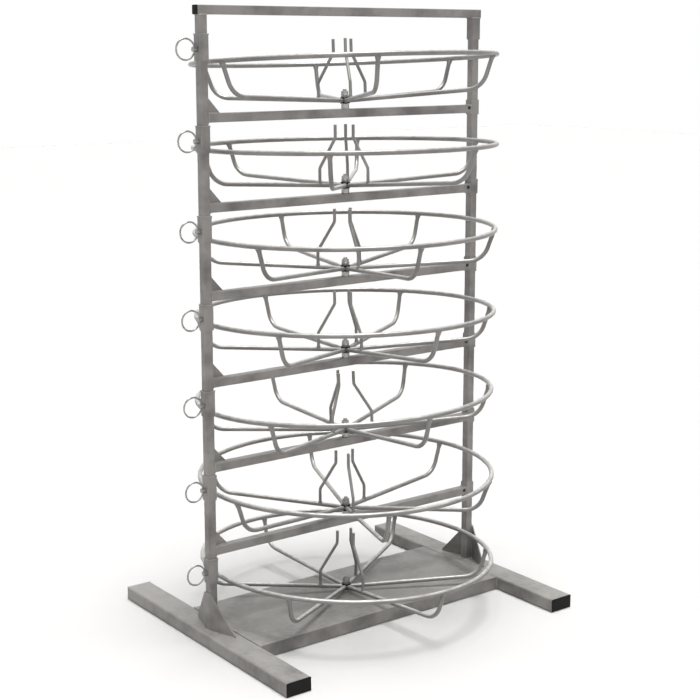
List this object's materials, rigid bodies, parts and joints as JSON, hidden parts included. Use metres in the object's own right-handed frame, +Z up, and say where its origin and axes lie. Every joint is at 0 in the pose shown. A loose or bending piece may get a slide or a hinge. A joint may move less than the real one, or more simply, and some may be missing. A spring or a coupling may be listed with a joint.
{
  "type": "rotating coil rack",
  "caption": "Free-standing steel rack: a column of rotating wire baskets on cross beams between two posts, for storing coils of hose, rope or wire.",
  "frame": {"origin": "on the floor, under the middle of the whole rack's bounding box", "axes": "+X along the beams towards the plain post, -X to the side with the lock pins; -Y to the front, where the tray reaches furthest; +Z up"},
  "size_m": [1.0846, 0.8905, 1.783],
  "materials": {
    "frame_paint": "silver-grey enamel on steel tube, satin",
    "basket_wire": "silver-grey enamel on round rod, satin",
    "zinc": "bright zinc plate",
    "bare_steel": "dark oiled steel",
    "black_plastic": "moulded black polyethylene"
  },
  "bodies": {
    "frame": {"feet": "frame_paint", "base_tray": "frame_paint", "post_gussets": "frame_paint", "right_post": "frame_paint", "left_tubes": "frame_paint", "top_bar": "frame_paint", "end_plugs": "black_plastic", "sleeves": "frame_paint", "right_collars": "frame_paint", "beam_gussets": "frame_paint", "pivot_bolts": "bare_steel", "pivot_nuts": "zinc", "tier_beam_1": "frame_paint", "tier_beam_2": "frame_paint", "tier_beam_3": "frame_paint", "tier_beam_4": "frame_paint", "tier_beam_5": "frame_paint", "tier_beam_6": "frame_paint"},
    "basket_1": {"basket_rim_1": "basket_wire", "basket_spokes_1": "basket_wire", "basket_prongs_1": "basket_wire", "hub_bush_1": "basket_wire"},
    "pin_1": {"lock_pin_1": "zinc"},
    "ring_1": {"pull_ring_1": "zinc"},
    "basket_2": {"basket_rim_2": "basket_wire", "basket_spokes_2": "basket_wire", "basket_prongs_2": "basket_wire", "hub_bush_2": "basket_wire"},
    "pin_2": {"lock_pin_2": "zinc"},
    "ring_2": {"pull_ring_2": "zinc"},
    "basket_3": {"basket_rim_3": "basket_wire", "basket_spokes_3": "basket_wire", "basket_prongs_3": "basket_wire", "hub_bush_3": "basket_wire"},
    "pin_3": {"lock_pin_3": "zinc"},
    "ring_3": {"pull_ring_3": "zinc"},
    "basket_4": {"basket_rim_4": "basket_wire", "basket_spokes_4": "basket_wire", "basket_prongs_4": "basket_wire", "hub_bush_4": "basket_wire"},
    "pin_4": {"lock_pin_4": "zinc"},
    "ring_4": {"pull_ring_4": "zinc"},
    "basket_5": {"basket_rim_5": "basket_wire", "basket_spokes_5": "basket_wire", "basket_prongs_5": "basket_wire", "hub_bush_5": "basket_wire"},
    "pin_5": {"lock_pin_5": "zinc"},
    "ring_5": {"pull_ring_5": "zinc"},
    "basket_6": {"basket_rim_6": "basket_wire", "basket_spokes_6": "basket_wire", "basket_prongs_6": "basket_wire", "hub_bush_6": "basket_wire"},
    "pin_6": {"lock_pin_6": "zinc"},
    "ring_6": {"pull_ring_6": "zinc"},
    "basket_7": {"basket_rim_7": "basket_wire", "basket_spokes_7": "basket_wire", "basket_prongs_7": "basket_wire", "hub_bush_7": "basket_wire"},
    "pin_7": {"lock_pin_7": "zinc"},
    "ring_7": {"pull_ring_7": "zinc"}
  },
  "joints": [
    {"name": "basket_spin_1", "type": "hinge", "parent": "frame", "child": "basket_1", "pos_m": [0.01485, 0, 1.498], "axis": [-0.0035, 0.0471, 0.9989], "continuous": true},
    {"name": "basket_spin_2", "type": "hinge", "parent": "frame", "child": "basket_2", "pos_m": [0.01485, 0, 1.255], "axis": [0.0017, 0.0192, 0.9998], "continuous": true},
    {"name": "basket_spin_3", "type": "hinge", "parent": "frame", "child": "basket_3", "pos_m": [0.01485, 0, 1.012], "axis": [-0.0087, 0.0052, 0.9999], "continuous": true},
    {"name": "basket_spin_4", "type": "hinge", "parent": "frame", "child": "basket_4", "pos_m": [0.01485, 0, 0.769], "axis": [0.0035, 0.0279, 0.9996], "continuous": true},
    {"name": "basket_spin_5", "type": "hinge", "parent": "frame", "child": "basket_5", "pos_m": [0.01485, 0, 0.526], "axis": [-0.0174, 0.0401, 0.999], "continuous": true},
    {"name": "basket_spin_6", "type": "hinge", "parent": "frame", "child": "basket_6", "pos_m": [0.01485, 0, 0.283], "axis": [-0.0017, 0.0035, 1], "continuous": true},
    {"name": "basket_spin_7", "type": "hinge", "parent": "frame", "child": "basket_7", "pos_m": [0.01485, 0, 0.04], "axis": [0.0332, 0.0087, 0.9994], "continuous": true},
    {"name": "pin_pull_1", "type": "slide", "parent": "frame", "child": "pin_1", "axis": [-1, 0, 0], "range_m": [0, 0.04]},
    {"name": "ring_swing_1", "type": "hinge", "parent": "pin_1", "child": "ring_1", "pos_m": [-0.48385, 0, 1.667], "axis": [0, 0, 1], "range_deg": [-80, 80]},
    {"name": "pin_pull_2", "type": "slide", "parent": "frame", "child": "pin_2", "axis": [-1, 0, 0], "range_m": [0, 0.04]},
    {"name": "ring_swing_2", "type": "hinge", "parent": "pin_2", "child": "ring_2", "pos_m": [-0.48385, 0, 1.424], "axis": [0, 0, 1], "range_deg": [-80, 80]},
    {"name": "pin_pull_3", "type": "slide", "parent": "frame", "child": "pin_3", "axis": [-1, 0, 0], "range_m": [0, 0.04]},
    {"name": "ring_swing_3", "type": "hinge", "parent": "pin_3", "child": "ring_3", "pos_m": [-0.48385, 0, 1.181], "axis": [0, 0, 1], "range_deg": [-80, 80]},
    {"name": "pin_pull_4", "type": "slide", "parent": "frame", "child": "pin_4", "axis": [-1, 0, 0], "range_m": [0, 0.04]},
    {"name": "ring_swing_4", "type": "hinge", "parent": "pin_4", "child": "ring_4", "pos_m": [-0.48385, 0, 0.938], "axis": [0, 0, 1], "range_deg": [-80, 80]},
    {"name": "pin_pull_5", "type": "slide", "parent": "frame", "child": "pin_5", "axis": [-1, 0, 0], "range_m": [0, 0.04]},
    {"name": "ring_swing_5", "type": "hinge", "parent": "pin_5", "child": "ring_5", "pos_m": [-0.48385, 0, 0.695], "axis": [0, 0, 1], "range_deg": [-80, 80]},
    {"name": "pin_pull_6", "type": "slide", "parent": "frame", "child": "pin_6", "axis": [-1, 0, 0], "range_m": [0, 0.04]},
    {"name": "ring_swing_6", "type": "hinge", "parent": "pin_6", "child": "ring_6", "pos_m": [-0.48385, 0, 0.452], "axis": [0, 0, 1], "range_deg": [-80, 80]},
    {"name": "pin_pull_7", "type": "slide", "parent": "frame", "child": "pin_7", "axis": [-1, 0, 0], "range_m": [0, 0.04]},
    {"name": "ring_swing_7", "type": "hinge", "parent": "pin_7", "child": "ring_7", "pos_m": [-0.48385, 0, 0.209], "axis": [0, 0, 1], "range_deg": [-80, 80]}
  ]
}
